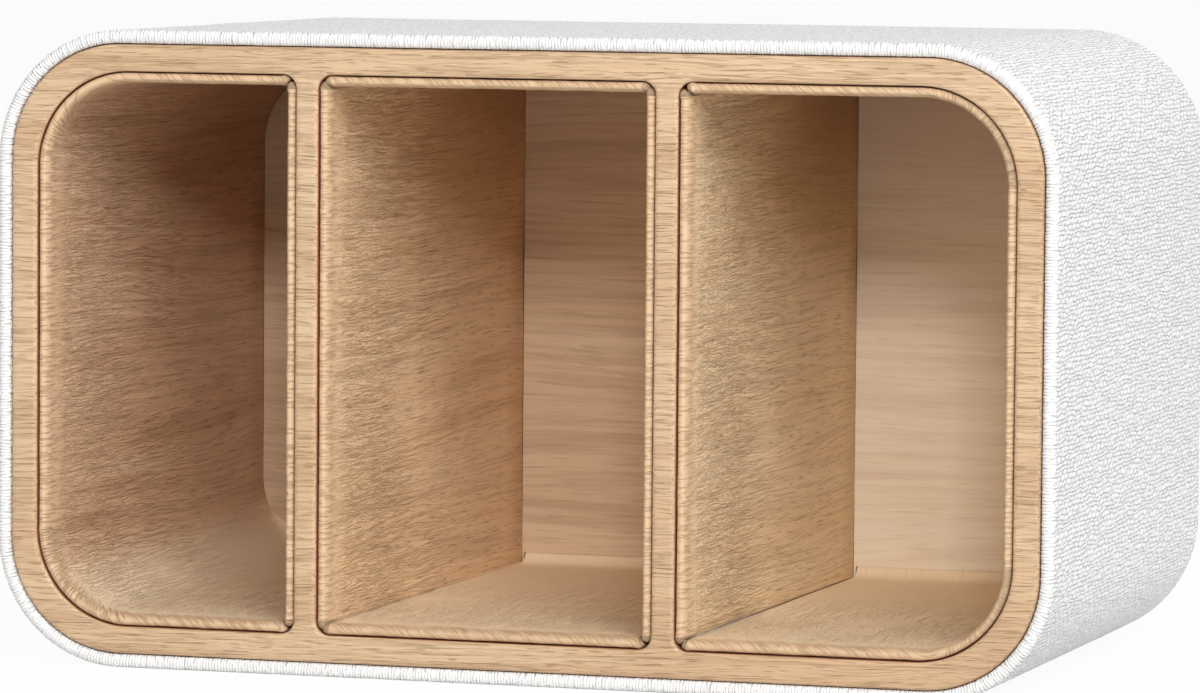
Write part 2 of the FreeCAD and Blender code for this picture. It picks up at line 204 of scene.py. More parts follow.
# %% Noise, hills and steps
TABLE_SIZE = 32
KEEP_POSITIVE = 500.0


def soft(places, size, seed):
    """Smooth noise from -1 to 1 at each place in mm; size is the width of its bumps."""
    table = np.random.default_rng(seed).uniform(-1, 1, (TABLE_SIZE,) * 3)
    scaled = places / np.asarray(size, float) + KEEP_POSITIVE
    cell = np.floor(scaled).astype(int)
    share = scaled - cell
    share = share * share * (3 - 2 * share)
    total = np.zeros(len(places))
    for corner in np.ndindex(2, 2, 2):
        weight = np.prod(np.where(corner, share, 1 - share), axis=1)
        total += weight * table[tuple(((cell + corner) % TABLE_SIZE).T)]
    return total


def bump(distance, width):
    """A smooth hill of height 1 around zero."""
    return np.exp(-(distance / width) ** 2)


def fade(value, start, end):
    """Go smoothly from 0 at start to 1 at end."""
    share = np.clip((value - start) / (end - start), 0, 1)
    return share * share * (3 - 2 * share)


# %% [markdown]
# ### From arrays to an object
# The mesh gets a UV map in millimetres on the unrolled cloth, and values that the materials read,
# such as the distance to the nearest edge.

# %% Make an object from arrays
def make_object(name, points, faces, uvs=None, attributes=None):
    """Make a smooth mesh object from points in mm."""
    mesh = bpy.data.meshes.new(name)
    mesh.from_pydata(np.asarray(points) * MM, [], [list(map(int, face)) for face in faces])
    if uvs is not None:
        mesh.uv_layers.new(name="cloth").data.foreach_set("uv", uvs.astype(np.float32).ravel())
    for key, values in (attributes or {}).items():
        mesh.attributes.new(key, "FLOAT", "POINT").data.foreach_set(
            "value", np.asarray(values, np.float32))
    mesh.polygons.foreach_set("use_smooth", [True] * len(mesh.polygons))
    mesh.update()
    print(name, "has", len(points), "points and", len(faces), "faces")
    return put(name, mesh)


# %% [markdown]
# ### A profile carried round an outline
# A profile is the section of a cover, as a cut would show it: a closed line of points, each with
# its distance inside the box and its depth. Every point of it is placed at every point of the
# outline, and a shape then pushes the points out of the surface.

# %% Carry a profile round an outline
def sweep(name, line, profile, shape, attributes=None):
    """Carry a closed profile of (inset, depth) points round an outline, with a UV map in mm.

    shape returns how far each point moves out of the surface."""
    profile = np.asarray(profile, float)
    columns, rows = len(line["point"]), len(profile)
    step = np.roll(profile, -1, 0) - np.roll(profile, 1, 0)
    step /= np.maximum(np.linalg.norm(step, axis=1, keepdims=True), 1e-9)
    path = np.append(0, np.cumsum(np.linalg.norm(np.diff(profile, axis=0, append=profile[:1]),
                                                 axis=1)))
    normal, point = np.repeat(line["normal"], rows, 0), np.repeat(line["point"], rows, 0)
    grid = {"along": np.repeat(line["along"], rows), "down": -normal[:, 1],
            "row": np.tile(np.arange(rows), columns),
            "inset": np.tile(profile[:, 0], columns), "depth": np.tile(profile[:, 1], columns)}

    def place():
        flat = point - normal * grid["inset"][:, None]
        return np.stack([flat[:, 0], grid["depth"], flat[:, 1]], 1)

    grid["place"] = place()
    move = shape(grid)
    grid["inset"] = grid["inset"] + np.tile(step[:, 1], columns) * move
    grid["depth"] = grid["depth"] - np.tile(step[:, 0], columns) * move
    points = place()
    column, row = (part.ravel() for part in np.meshgrid(np.arange(columns), np.arange(rows),
                                                        indexing="ij"))
    other, after = (column + 1) % columns, (row + 1) % rows
    faces = np.stack([column * rows + row, other * rows + row,
                      other * rows + after, column * rows + after], 1)
    alongs = np.append(line["along"], line["length"])
    uvs = np.stack([np.stack([alongs[column + c], path[row + r]], 1)
                    for c, r in ((0, 0), (1, 0), (1, 1), (0, 1))], 1)
    extra = {key: values(grid) for key, values in (attributes or {}).items()}
    return make_object(name, points, faces, uvs, extra)


def arc(centre, radius, start, end, pieces, depth_radius=None):
    """Points of an arc in a profile, from one angle to another in degrees; its end is left out."""
    high = radius if depth_radius is None else depth_radius
    angles = np.radians(np.linspace(start, end, pieces, endpoint=False))
    return [(centre[0] + radius * math.cos(a), centre[1] + high * math.sin(a)) for a in angles]


def run(start, end, pieces):
    """Points of a straight run in a profile; its end is left out."""
    shares = np.linspace(0, 1, pieces, endpoint=False)
    return [(start[0] + (end[0] - start[0]) * s, start[1] + (end[1] - start[1]) * s)
            for s in shares]


# %% [markdown]
# ## The linen cover
# One strip of linen goes round the box. It is folded over the front edge of the board, where it
# makes the white rim, and turned in over the back edge. It is glued, and a cloth simulation would
# only make it sag, so its section is drawn. It starts at the back, runs to the front, round the
# rim and in, and then back again on the inner side.

# %% Draw the section of the linen
RIM_ROUND = RIM_WIDTH / 2
FRONT_TURN = FRONT + RIM_ROUND
MARGIN_END = FRONT + 14.0
BACK_PLANE, BACK_ROUND, BACK_MARGIN = 59.5, 1.45, 10.0
BACK_TURN = BACK_PLANE - BACK_ROUND

linen_profile = (
    run((0, BACK_TURN), (0, FRONT_TURN), 104)
    + arc((RIM_ROUND, FRONT_TURN), RIM_ROUND, 180, 360, 14)
    + run((RIM_WIDTH, FRONT_TURN), (RIM_WIDTH, MARGIN_END), 5)
    + run((RIM_WIDTH, MARGIN_END), (RIM_WIDTH - CLOTH, MARGIN_END), 1)
    + run((RIM_WIDTH - CLOTH, MARGIN_END), (RIM_WIDTH - CLOTH, FRONT_TURN), 3)
    + arc((RIM_ROUND, FRONT_TURN), RIM_ROUND - CLOTH, 360, 180, 4)
    + run((CLOTH, FRONT_TURN), (CLOTH, BACK_TURN), 8)
    + arc((BACK_ROUND, BACK_TURN), BACK_ROUND - CLOTH, 180, 90, 3)
    + run((BACK_ROUND, BACK_PLANE - CLOTH), (BACK_MARGIN, BACK_PLANE - CLOTH), 3)
    + run((BACK_MARGIN, BACK_PLANE - CLOTH), (BACK_MARGIN, BACK_PLANE), 1)
    + run((BACK_MARGIN, BACK_PLANE), (BACK_ROUND, BACK_PLANE), 9)
    + arc((BACK_ROUND, BACK_TURN), BACK_ROUND, 90, 180, 5)
)
print("the linen's section has", len(linen_profile), "points")

# %% [markdown]
# ### Pleats and unevenness
# The cloth is uneven by a few hundredths of a millimetre, and its back margin is pleated, because
# a straight strip that is turned in at a round corner is too long there.

# %% Make the linen cover
PLEAT_DEPTH, PLEATS_PER_RADIAN, CORNER_REACH = 0.28, 24, 0.75
box_line = outline(*BOX[0], BOX[1], step=1.25, arc_step=0.8)


def linen_shape(grid):
    """A soft unevenness all over, and pleats where the back margin is gathered at the corners."""
    outside = (grid["inset"] < CLOTH * 0.9) | (grid["depth"] < FRONT_TURN)
    outside |= grid["depth"] > BACK_PLANE - CLOTH * 0.5
    move = 0.05 * soft(grid["place"], 16, 1) + 0.03 * soft(grid["place"], 4, 2)
    pleats = np.zeros(len(move))
    for middle, radius in box_line["corners"]:
        turn = (grid["along"] - middle) / radius
        gathered = fade(CORNER_REACH - np.abs(turn), 0, 0.15)
        pleats += gathered * np.cos(turn * PLEATS_PER_RADIAN) ** 3
    back = fade(grid["inset"], BACK_ROUND, 6.0) * (grid["depth"] > BACK_PLANE - 0.3)
    return np.where(outside, move + PLEAT_DEPTH * back * pleats, 0)


linen_cover = sweep("linen_cover", box_line, linen_profile, linen_shape)

# %% [markdown]
# ## The linings of the compartments
# Each compartment is lined with one strip of leatherette that is rolled over a card at the front,
# so that a thin bead, the lip, shows inside the face frame. The section starts in the margin
# behind the frame, rolls over the lip and runs into the depth. Its last rows follow a small cove
# for the floor, because glue and card fill the corner under the panel.

# %% Draw the section of the linings
LIP_ROUND, LIP_FALL = LIP_WIDTH / 2, 2.4
LIP_TURN, LIP_END = LIP_FRONT + LIP_ROUND, LIP_FRONT + LIP_FALL
LINER_MARGIN = 9.0
COVE_END, COVE = 54.29, 2.5
COVE_ANGLES = np.radians([22, 40, 60, 75, 90])
wall_depths = np.concatenate([np.linspace(LIP_END, -50, 16), np.linspace(-50, 50, 32)[1:],
                              COVE_END - COVE * (1 - np.sin(COVE_ANGLES)),
                              [COVE_END + 0.02, LINER_BACK]])

lining_margin = run((0, LIP_TURN + LINER_MARGIN), (0, LIP_TURN), 4)
lining_skin = (
    arc((LIP_ROUND, LIP_TURN), LIP_ROUND, 180, 270, 8)
    + arc((LIP_ROUND, LIP_END), LIP_ROUND, 270, 360, 12, LIP_FALL)
    + [(LIP_WIDTH, depth) for depth in wall_depths])
lining_inside = (
    [(LIP_WIDTH - LINER, LINER_BACK), (LIP_WIDTH - LINER, 0.0), (LIP_WIDTH - LINER, LIP_END)]
    + arc((LIP_ROUND, LIP_TURN), LIP_ROUND - LINER, 340, 180, 4)
    + [(LINER, LIP_TURN), (LINER, LIP_TURN + LINER_MARGIN)])
print("the skin of a lining has", len(lining_skin), "rows")

# %% [markdown]
# ### Pinches and seams
# Where the strip turns a tight corner it is pinched: a crease crosses the bead between two small
# bulges. In the right compartment the wall and the floor also meet in a seam. A crease stays
# shallower than the skin is thick, or the card would show through.

# %% Say where the linings are creased
# how hard each tight corner is pinched, and how deep the seam behind it is, from the bottom right
# corner on, anticlockwise; a wide corner isn't pinched
PINCHES = {
    "left": [(0.8, 0.0), (1.0, 0.0), (0, 0), (0, 0)],
    "middle": [(0.9, 0.0), (0.5, 0.0), (0.5, 0.0), (0.4, 0.4)],
    "right": [(0, 0), (0, 0), (1.2, 0.1), (0.8, 1.0)],
}
PINCH_WIDTH, SEAM_WIDTH, CREASE_DEPTH, DEEPEST_CREASE = 0.34, 0.42, 0.55, 0.42


def lining_creases(line, pinches, grid):
    """How strongly each point is creased: by the pinch across the lip, and the seam behind it."""
    behind = grid["depth"] - LIP_FRONT
    crease = np.zeros(len(behind))
    for (middle, _), (pinch, seam) in zip(line["corners"], pinches):
        away = grid["along"] - middle
        crease += pinch * bump(away, PINCH_WIDTH) * (1 - fade(behind, 2.0, 6.0))
        crease += seam * bump(away, SEAM_WIDTH) * fade(behind, 1.0, 6.0)
    return crease


# %% [markdown]
# ### The relief of a lining
# The roll pulls fine ripples across the bead, and the wall behind it is soft and uneven. These are
# shapes, so they go into the mesh. The finer wrinkles are left to the material. Only the skin
# moves: the margin and the inner side stay on the card.

# %% Shape the linings
BULGE, BULGE_AWAY, BULGE_WIDTH = 0.22, 1.5, 0.65


def lining_shape(line, pinches, seed):
    """Ripples across the lip, pinched corners, seams, the cove and a gently uneven wall."""

    def shape(grid):
        along, depth, place = grid["along"], grid["depth"], grid["place"]
        is_skin = (grid["row"] >= len(lining_margin) - 1)
        is_skin &= grid["row"] < len(lining_margin) + len(lining_skin)
        behind = depth - LIP_FRONT
        lip, near = 1 - fade(behind, 1.5, 5.0), 1 - fade(behind, 8, 60)
        slanted = np.stack([along + behind * 0.3, behind * 0.3, 0 * along], 1)
        move = lip * (0.02 * soft(slanted, (0.8, 2.5, 1), seed) + 0.05 * soft(place, 4, seed + 1))
        wall = 0.16 * soft(place, (14, 22, 14), seed + 2)
        wall += 0.08 * near * soft(place, (4, 9, 4), seed + 3)
        move += wall * fade(behind, 1.5, 7)
        for (middle, _), (pinch, _) in zip(line["corners"], pinches):
            beside = bump(np.abs(along - middle) - BULGE_AWAY, BULGE_WIDTH)
            move += BULGE * pinch * (1 - fade(behind, 1.5, 5.5)) * beside
        move -= np.minimum(CREASE_DEPTH * lining_creases(line, pinches, grid), DEEPEST_CREASE)
        share = np.clip((depth - COVE_END) / COVE + 1, 0, 1)
        cove = COVE * (1 - np.sqrt(1 - share ** 2)) * (depth < COVE_END + 0.01)
        move += cove * fade(grid["down"], 0.35, 0.85)
        return np.where(is_skin, move, 0)

    return shape


# %% [markdown]
# ### The three linings
# Each gets its own outline, pinches and noise. Its attributes tell the material how far behind the
# lip a point lies, whether it is on the floor or the ceiling, whether it is tucked in beside the
# frame, and where the creases are.

# %% Make the three linings
linings, lining_lines = {}, {}
for number, (name, opening) in enumerate(OPENINGS.items()):
    lining_sides, lining_radii = inset(*opening, LIP_GAP)
    line = lining_lines[name] = outline(*lining_sides, lining_radii, step=0.42, arc_step=0.28)
    linings[name] = sweep(
        name + "_lining", line, lining_margin + lining_skin + lining_inside,
        lining_shape(line, PINCHES[name], 10 + 5 * number), {
            "behind": lambda grid: np.clip(grid["depth"] - LIP_FRONT, 0, 200),
            "down": lambda grid: grid["down"],
            "tucked": lambda grid: 1.0 * (grid["row"] < len(lining_margin)),
            "crease": lambda grid: lining_creases(line, PINCHES[name], grid)})

# %% [markdown]
# ## Plates with rolled edges
# A bevelled solid has flat faces with hard rims of light. Leather over a board falls away slowly
# near its edge, so each plate gets rings of points that follow its edges.

# %% Lay rings along the edges of a plate
EDGE_RINGS = [0.0, 0.06, 0.17, 0.33, 0.55, 0.82, 1.15]


def edge_rings(borders, levels, step):
    """Rings of points that follow each edge of a plate, and the faces between them.

    Returns points of (x, depth, z), faces, and the numbers of the points in each last ring."""
    points, faces, last_rings = [], [], []
    for (sides, radii), direction in borders:
        line = outline(*sides, radii, step=step, arc_step=min(step, 0.5))
        count, first = len(line["point"]), len(points)
        for distance, depth in levels:
            ring = line["point"] - line["normal"] * distance * direction
            points += [(x, depth, z) for x, z in ring]
        last = len(points) - count
        for start in range(first, last, count):
            for column in range(count):
                a, b = start + column, start + (column + 1) % count
                faces.append((a, b, b + count, a + count)[::direction])
        last_rings.append(range(last, last + count))
    return points, faces, last_rings


# %% [markdown]
# ### The middle of a plate
# Scattered points fill the middle, joined by Blender's own Delaunay triangulation. It keeps every
# ring as an edge, but it fills the openings too, so those triangles are dropped again.

# %% Fill the middle of a plate
FILL_INSIDE, SAME_PLACE = 2, 1e-7


def fill_middle(points, rings, scattered):
    """Triangles between the last rings, through scattered points, which join the points."""
    flat, edges = [], []
    for ring in rings:
        start, count = len(flat), len(ring)
        edges += [(start + i, start + (i + 1) % count) for i in range(count)]
        flat.extend(ring)
    places = [Vector((points[i][0], points[i][2])) for i in flat]
    places += [Vector(pair) for pair in scattered]
    made = delaunay_2d_cdt(places, edges, [], FILL_INSIDE, SAME_PLACE)
    vertices, _, triangles, origins = made[:4]
    numbers = []
    for vertex, origin in zip(vertices, origins):
        known = [flat[i] for i in origin if i < len(flat)] or [len(points)]
        if known[0] == len(points):
            points.append((vertex.x, None, vertex.y))
        numbers.append(known[0])
    # an opening is convex, so a triangle with all its corners on one opening's ring fills it
    owner = {index: number for number, ring in enumerate(rings) for index in ring}
    faces = []
    for triangle in triangles:
        corners = tuple(numbers[i] for i in triangle)
        owners = {owner.get(index, -1) for index in corners}
        if len(owners) > 1 or max(owners) < 1:
            faces.append(corners)
    return faces


# %% [markdown]
# ### The height of a plate
# The height comes from each point's distance to the nearest edge: it rises steeply there and eases
# into the flat, like a padded skin.

# %% Make a plate
ROLL_POWER = 2.3


def plate(name, outer, holes, front, back, roll, spacing, shape, step=0.8, closed=True,
          turned=False):
    """A plate that faces the front, with openings, whose edges roll over a width of roll mm.

    A turned plate faces the back: it is made the other way round and its depths are mirrored."""
    if turned:
        front, back = -front, -back
    levels = [(0.0, depth) for depth in np.linspace(back, front + roll, 4)[:-1]]
    levels += [(ring * roll / EDGE_RINGS[-2], None) for ring in EDGE_RINGS]
    points, faces, rings = edge_rings([(outer, 1)] + [(hole, -1) for hole in holes], levels, step)

    def edge_distance(x, z):
        inside = [-depth_inside(x, z, *hole) for hole in holes]
        return np.min([depth_inside(x, z, *outer)] + inside, axis=0)

    left, right, bottom, top = outer[0]
    x, z = np.meshgrid(np.arange(left, right, spacing), np.arange(bottom, top, spacing))
    random = np.random.default_rng(3)
    x = x.ravel() + random.uniform(-0.2, 0.2, x.size) * spacing
    z = z.ravel() + random.uniform(-0.2, 0.2, z.size) * spacing
    keep = edge_distance(x, z) > levels[-1][0] + 0.4 * spacing
    faces += fill_middle(points, rings, zip(x[keep], z[keep]))
    x, known, z = np.array(points, float).T
    away = np.where(np.isnan(known), np.maximum(edge_distance(x, z), 0), 0)
    share = np.clip(1 - away / roll, 0, 1)
    depth = front + roll * (1 - (1 - share ** ROLL_POWER) ** (1 / ROLL_POWER))
    depth -= shape(x, z, away) * np.clip(away / roll, 0, 1)
    depth = np.where(np.isnan(known), depth, known)
    if closed:
        count = len(rings[0])
        made = delaunay_2d_cdt([Vector((x[i], z[i])) for i in range(count)],
                               [(i, (i + 1) % count) for i in range(count)], [], FILL_INSIDE,
                               SAME_PLACE)
        faces += [tuple(made[3][i][0] for i in t)[::-1] for t in made[2]]
    if turned:
        depth, faces = -depth, [face[::-1] for face in faces]
    return make_object(name, np.stack([x, depth, z], 1), faces, attributes={"edge": away})


# %% [markdown]
# ## The cover of the face frame
# One piece of leatherette is stretched over a board with three openings and rolled back over every
# edge. Beside the dividers it puckers a little. The plate is left open at the back and Solidify
# gives it its thickness inwards.

# %% Make the cover of the face frame
PUCKER, PUCKER_AWAY, PUCKER_WIDTH, PUCKERS = 0.06, 1.6, 1.3, 7
frame_outer = inset(*BOX, FRAME_OFFSET)


def frame_relief(x, z, away):
    """Small puckers beside the openings' tight corners, and a skin that isn't quite flat."""
    places = np.stack([x, 0 * x, z], 1)
    height = 0.05 * soft(places, (9, 1, 5), 41) + 0.02 * soft(places, (2.5, 1, 1.2), 42)
    for (left, right, bottom, top), radii in OPENINGS.values():
        corners = [(left, bottom), (right, bottom), (right, top), (left, top)]
        for corner, (corner_x, corner_z) in enumerate(corners):
            if radii[corner] == TIGHT:
                reach = np.hypot(x - corner_x, z - corner_z)
                turn = np.arctan2(z - corner_z, x - corner_x)
                height += (PUCKER * bump(reach - PUCKER_AWAY, PUCKER_WIDTH)
                           * np.cos(PUCKERS * turn + corner))
    return height


frame_cover = plate("face_frame_cover", frame_outer, list(OPENINGS.values()), FRAME_FRONT,
                    FRAME_BACK, roll=0.85, spacing=0.8, shape=frame_relief, closed=False)
thickness = frame_cover.modifiers.new("thickness", "SOLIDIFY")
thickness.thickness = (LEATHER - 0.05) * MM
thickness.offset = -1

# %% [markdown]
# ## The panels and the felt
# A covered card closes the back of each compartment. It was pushed in against the right, so a dark
# line shows only along its left edge. A sheet of felt closes the back of the box, inside the
# turned margin of the linen: a plate that faces the back.

# %% Make the panels and the felt
def skin_relief(seed, height, size):
    """An almost flat glued skin, which has no relief at its edge."""
    return lambda x, z, away: (height * fade(away, 0, 8)
                               * soft(np.stack([x, 0 * x, z], 1), size, seed))


PANEL_FRONT, PANEL_BACK, PANEL_GAP, LEAST_RADIUS = 54.25, 54.75, 0.03, 0.4
PANEL_LEFT_GAPS = {"left": 0.03, "middle": 0.06, "right": 0.03}
panels = {}
for number, (name, opening) in enumerate(OPENINGS.items()):
    (left, right, bottom, top), radii = inset(*opening, LIP_GAP + LIP_WIDTH + PANEL_GAP)
    panel = ((left + PANEL_LEFT_GAPS[name], right, bottom, top),
             [max(radius, LEAST_RADIUS) for radius in radii])
    panels[name] = plate(name + "_back_panel", panel, [], PANEL_FRONT, PANEL_BACK, roll=0.2,
                         spacing=2.0, shape=skin_relief(50 + number, 0.12, (22, 1, 12)), step=1.2)

FELT_FRONT, FELT_BACK = 58.9, DEPTH / 2
felt_outline = inset(*BOX, BACK_MARGIN + 0.25)
back_felt = plate("back_felt_sheet", felt_outline, [], FELT_BACK, FELT_FRONT, roll=0.5,
                  spacing=1.5, shape=skin_relief(60, 0.06, (6, 1, 6)), turned=True)

# %% [markdown]
# ## Patterns as node groups
# Wood grain, wrinkled skin and linen each appear on more than one piece, so each is a node group
# with named sockets, built once and given its own values in every material. All work in
# millimetres. A helper keeps the code close to its formula.

# %% A helper for placing and joining nodes
class Net:
    """Places nodes in one tree and joins them."""

    def __init__(self, tree):
        self.tree = tree

    def feed(self, socket, value):
        if isinstance(value, bpy.types.NodeSocket):
            self.tree.links.new(value, socket)
        elif hasattr(value, "__len__") and len(value) == 3 and socket.type == "RGBA":
            socket.default_value = (*value, 1)
        else:
            socket.default_value = value

    def add(self, kind, inputs=None, **settings):
        node = self.tree.nodes.new(kind if "Node" in kind else "ShaderNode" + kind)
        for key, value in settings.items():
            setattr(node, key, value)
        for key, value in (inputs or {}).items():
            self.feed(node.inputs[key], value)
        return node

    def tie(self, kind, inputs=None, **settings):
        """Add a node and return its first output."""
        return self.add(kind, inputs, **settings).outputs[0]

    def math(self, operation, *values):
        return self.tie("Math", dict(enumerate(values)), operation=operation)

    def times(self, first, second, plus=None):
        """first times second, and plus something if that is given."""
        values = (first, second) if plus is None else (first, second, plus)
        return self.math("MULTIPLY" if plus is None else "MULTIPLY_ADD", *values)

    def scaled(self, vector, scale, shift=(0, 0, 0)):
        return self.tie("Mapping", {"Vector": vector, "Scale": scale, "Location": shift})

    def noise(self, vector, scale=(1, 1, 1), detail=2.0, roughness=0.5, distortion=0.0,
              shift=(0, 0, 0)):
        return self.tie("TexNoise", {
            "Vector": self.scaled(vector, scale, shift), "Scale": 1.0, "Detail": detail,
            "Roughness": roughness, "Distortion": distortion})

    def ramp(self, value, low, high, to_low=0.0, to_high=1.0):
        inputs = {"Value": value, "From Min": low, "From Max": high, "To Min": to_low,
                  "To Max": to_high}
        return self.tie("MapRange", inputs, interpolation_type="SMOOTHSTEP")

    def mix(self, share, first, second):
        inputs = {0: share, 6: first, 7: second}
        return self.add("Mix", inputs, data_type="RGBA", clamp_factor=True).outputs[2]

    def split(self, vector):
        return self.add("SeparateXYZ", {"Vector": vector}).outputs

    def join(self, x, y, z=0.0):
        return self.tie("CombineXYZ", {"X": x, "Y": y, "Z": z})

    def place(self, group, **values):
        """Put in a group with its own values, and return its outputs."""
        return self.add("Group", values, node_tree=group).outputs


# %% [markdown]
# ### Groups, materials and relief
# A group gets its sockets through its interface, so that each has a name and a value to start
# from. What is the same all over a material is set on its Principled BSDF directly.

# %% Helpers for groups and materials
def pattern(name, inputs, outputs, kind="ShaderNodeTree"):
    """A node group with named sockets; its helper, its inputs and its outputs.

    An input is given by its first value, or by the name of its kind."""
    tree = bpy.data.node_groups.new(name, kind)
    kinds = {str: None, tuple: "Color", float: "Float", int: "Int"}
    for label, value in inputs.items():
        socket_type = "NodeSocket" + (kinds[type(value)] or value)
        socket = tree.interface.new_socket(label, in_out="INPUT", socket_type=socket_type)
        if not isinstance(value, str):
            socket.default_value = (*value, 1) if isinstance(value, tuple) else value
    for label, socket_type in outputs.items():
        tree.interface.new_socket(label, in_out="OUTPUT", socket_type="NodeSocket" + socket_type)
    given = tree.nodes.new("NodeGroupInput").outputs
    return Net(tree), given, tree.nodes.new("NodeGroupOutput").inputs


def new_material(name, roughness, **settings):
    """A material with a Principled BSDF; numbers that are the same all over are set on it."""
    material = bpy.data.materials.new(name)
    material.use_nodes = True
    shader = material.node_tree.nodes["Principled BSDF"]
    shader.inputs["Roughness"].default_value = roughness
    for key, value in settings.items():
        shader.inputs[key.replace("_", " ")].default_value = value
    print("material", name)
    return material, Net(material.node_tree), shader.inputs


def add_bump(net, shader, height, depth):
    """Turn a height from 0 to 1 into relief that is depth mm deep."""
    inputs = {"Height": height, "Distance": depth * MM, "Strength": 1.0}
    net.feed(shader["Normal"], net.tie("Bump", inputs))


def object_mm(net):
    """Object coordinates in mm."""
    return net.scaled(net.add("TexCoord").outputs["Object"], (1 / MM,) * 3)


def swapped(net, x, y, z):
    """Object coordinates in mm with their axes in another order."""
    place = net.split(object_mm(net))
    return net.join(place[x], place[y], place[z])


# %% [markdown]
# ## Studio
# The photograph stands on pure white. A pale floor curves up into a backdrop, far enough away to
# keep clear of every view.

# %% Lay the floor
floor_width, floor_start, bend, wall_top = 12.0, 6.0, 2.0, 8.0
rows = [(-floor_width, 0.0), (floor_start, 0.0)]
rows += [(floor_start + bend * math.sin(a), bend - bend * math.cos(a))
         for a in np.radians(np.linspace(10, 90, 9))] + [(floor_start + bend, wall_top)]
count = len(rows)
floor = make_object(
    "studio_floor",
    np.array([(x, y, z) for x in (-floor_width, floor_width) for y, z in rows]) / MM,
    [(i, count + i, count + i + 1, i + 1) for i in range(count - 1)])
floor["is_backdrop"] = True

# %% [markdown]
# ### White paper and a white world
# To the camera and in reflections the floor and the world glow white, and the floor keeps only a
# breath of the box's shadow. As lights they are weaker, because even light from all sides leaves
# no shade in the compartments. The Light Path node tells the two apart.

# %% Paper the floor and set the world
SHADOW_HIDDEN, WORLD_LIGHT = 0.95, 0.3


def looked_at(net):
    """1 where the camera looks, directly or by way of a reflection, and 0 for all other light."""
    path = net.add("LightPath").outputs
    seen = net.math("MAXIMUM", path["Is Camera Ray"], path["Is Glossy Ray"])
    return net.math("MAXIMUM", seen, path["Is Transmission Ray"])


paper, net, shader = new_material("studio_paper", 0.9)
net.feed(shader["Base Color"], (0.88, 0.88, 0.88))
mottle = net.noise(object_mm(net), (0.02, 0.02, 0.02), 2.0)
net.feed(shader["Roughness"], net.ramp(mottle, 0.3, 0.7, 0.85, 0.95))
glow = net.add("Emission", {"Color": (1, 1, 1), "Strength": 1.0}).outputs[0]
blend = net.add("MixShader", {0: net.times(looked_at(net), SHADOW_HIDDEN), 2: glow})
net.tree.links.new(net.tree.nodes["Principled BSDF"].outputs[0], blend.inputs[1])
net.tree.links.new(blend.outputs[0], net.tree.nodes["Material Output"].inputs[0])
floor.data.materials.append(paper)

world = bpy.context.scene.world = bpy.data.worlds.new("studio")
world.use_nodes = True
net = Net(world.node_tree)
background = net.tree.nodes["Background"].inputs
background["Color"].default_value = (1, 1, 1, 1)
net.feed(background["Strength"], net.ramp(looked_at(net), 0.0, 1.0, WORLD_LIGHT, 1.0))
print("the world lights the box with a strength of", WORLD_LIGHT)

# %% [markdown]
# ### The lamps
# Four square lamps look at the box: a small one in front and two large ones on the right, as the
# photograph's shading suggests, and one behind, which lights the top and keeps the back readable.
# A small lamp makes crisp shade in the crinkles, a large one soft shade in the depth.

# %% Hang the lamps
LAMP_DISTANCE = 2.2
for name, azimuth, elevation, size, power in [
        ("key", 17, 21, 0.3, 15), ("front_high", 36, 34, 0.9, 24),
        ("right", 75, 38, 0.9, 9.5), ("behind", 195, 32, 1.2, 13)]:
    light = bpy.data.lights.new(name, "AREA")
    light.shape, light.size, light.energy = "SQUARE", size, power
    aimed(name, light, Vector((0, 0, HEIGHT / 2 * MM)), azimuth, elevation, LAMP_DISTANCE)

# %% [markdown]
# ## The printed oak grain
# The print has broad soft bands and darker streaks, fibre lines that run almost parallel, and
# short dark pores. Each is the same noise, stretched far along the grain and squeezed across it,
# and a slow noise bends them together. The ribs are fine lines a little less than a millimetre
# apart, as on the frame.

# %% Build the oak grain group
net, given, out = pattern("oak_print", {
    "Vector": "Vector", "Pale": (0.75, 0.54, 0.35), "Warm": (0.66, 0.41, 0.25),
    "Dark": (0.38, 0.21, 0.11), "Streaks": 0.3, "Lines": 0.3, "Ribs": 0.0, "Pores": 0.5,
    "Fineness": 1.0},
    {"Color": "Color", "Height": "Float"})
x, y, z = net.split(given["Vector"])
wander = net.noise(given["Vector"], (0.006, 0.03, 0.03), 1.0)
bent = net.join(x, net.times(wander, 16.0, plus=y), z)
fine = net.add("VectorMath", {0: bent, 3: given["Fineness"]}, operation="SCALE").outputs[0]
figure = net.ramp(net.noise(bent, (0.008, 0.11, 0.11), 2.0, 0.55), 0.36, 0.66)
streaks = net.ramp(net.noise(bent, (0.014, 0.26, 0.26), 2.0, shift=(60, 9, 0)), 0.45, 0.70)
lines = net.ramp(net.noise(fine, (0.035, 1.5, 1.5), 2.0, 0.55, shift=(5, 0, 0)), 0.52, 0.59)
fibres = net.ramp(net.noise(fine, (0.11, 3.8, 3.8), 1.0, shift=(0, 17, 0)), 0.50, 0.59)
pores = net.ramp(net.noise(fine, (0.2, 3.1, 3.1), 1.0, shift=(0, 40, 0)), 0.60, 0.67)

RIBS_TURN = 7.4
sway = net.noise(fine, (0.07, 0.5, 0.5), 1.0, shift=(0, 70, 0))
rib = net.math("SINE", net.times(net.times(sway, 3.0, plus=net.split(fine)[1]), RIBS_TURN))
patches = net.noise(fine, (0.05, 0.35, 0.35), 2.0, 0.6, shift=(0, 90, 0))
rib = net.times(net.ramp(rib, 0.62, 0.98), net.ramp(patches, 0.34, 0.58, 0.25, 1.0))

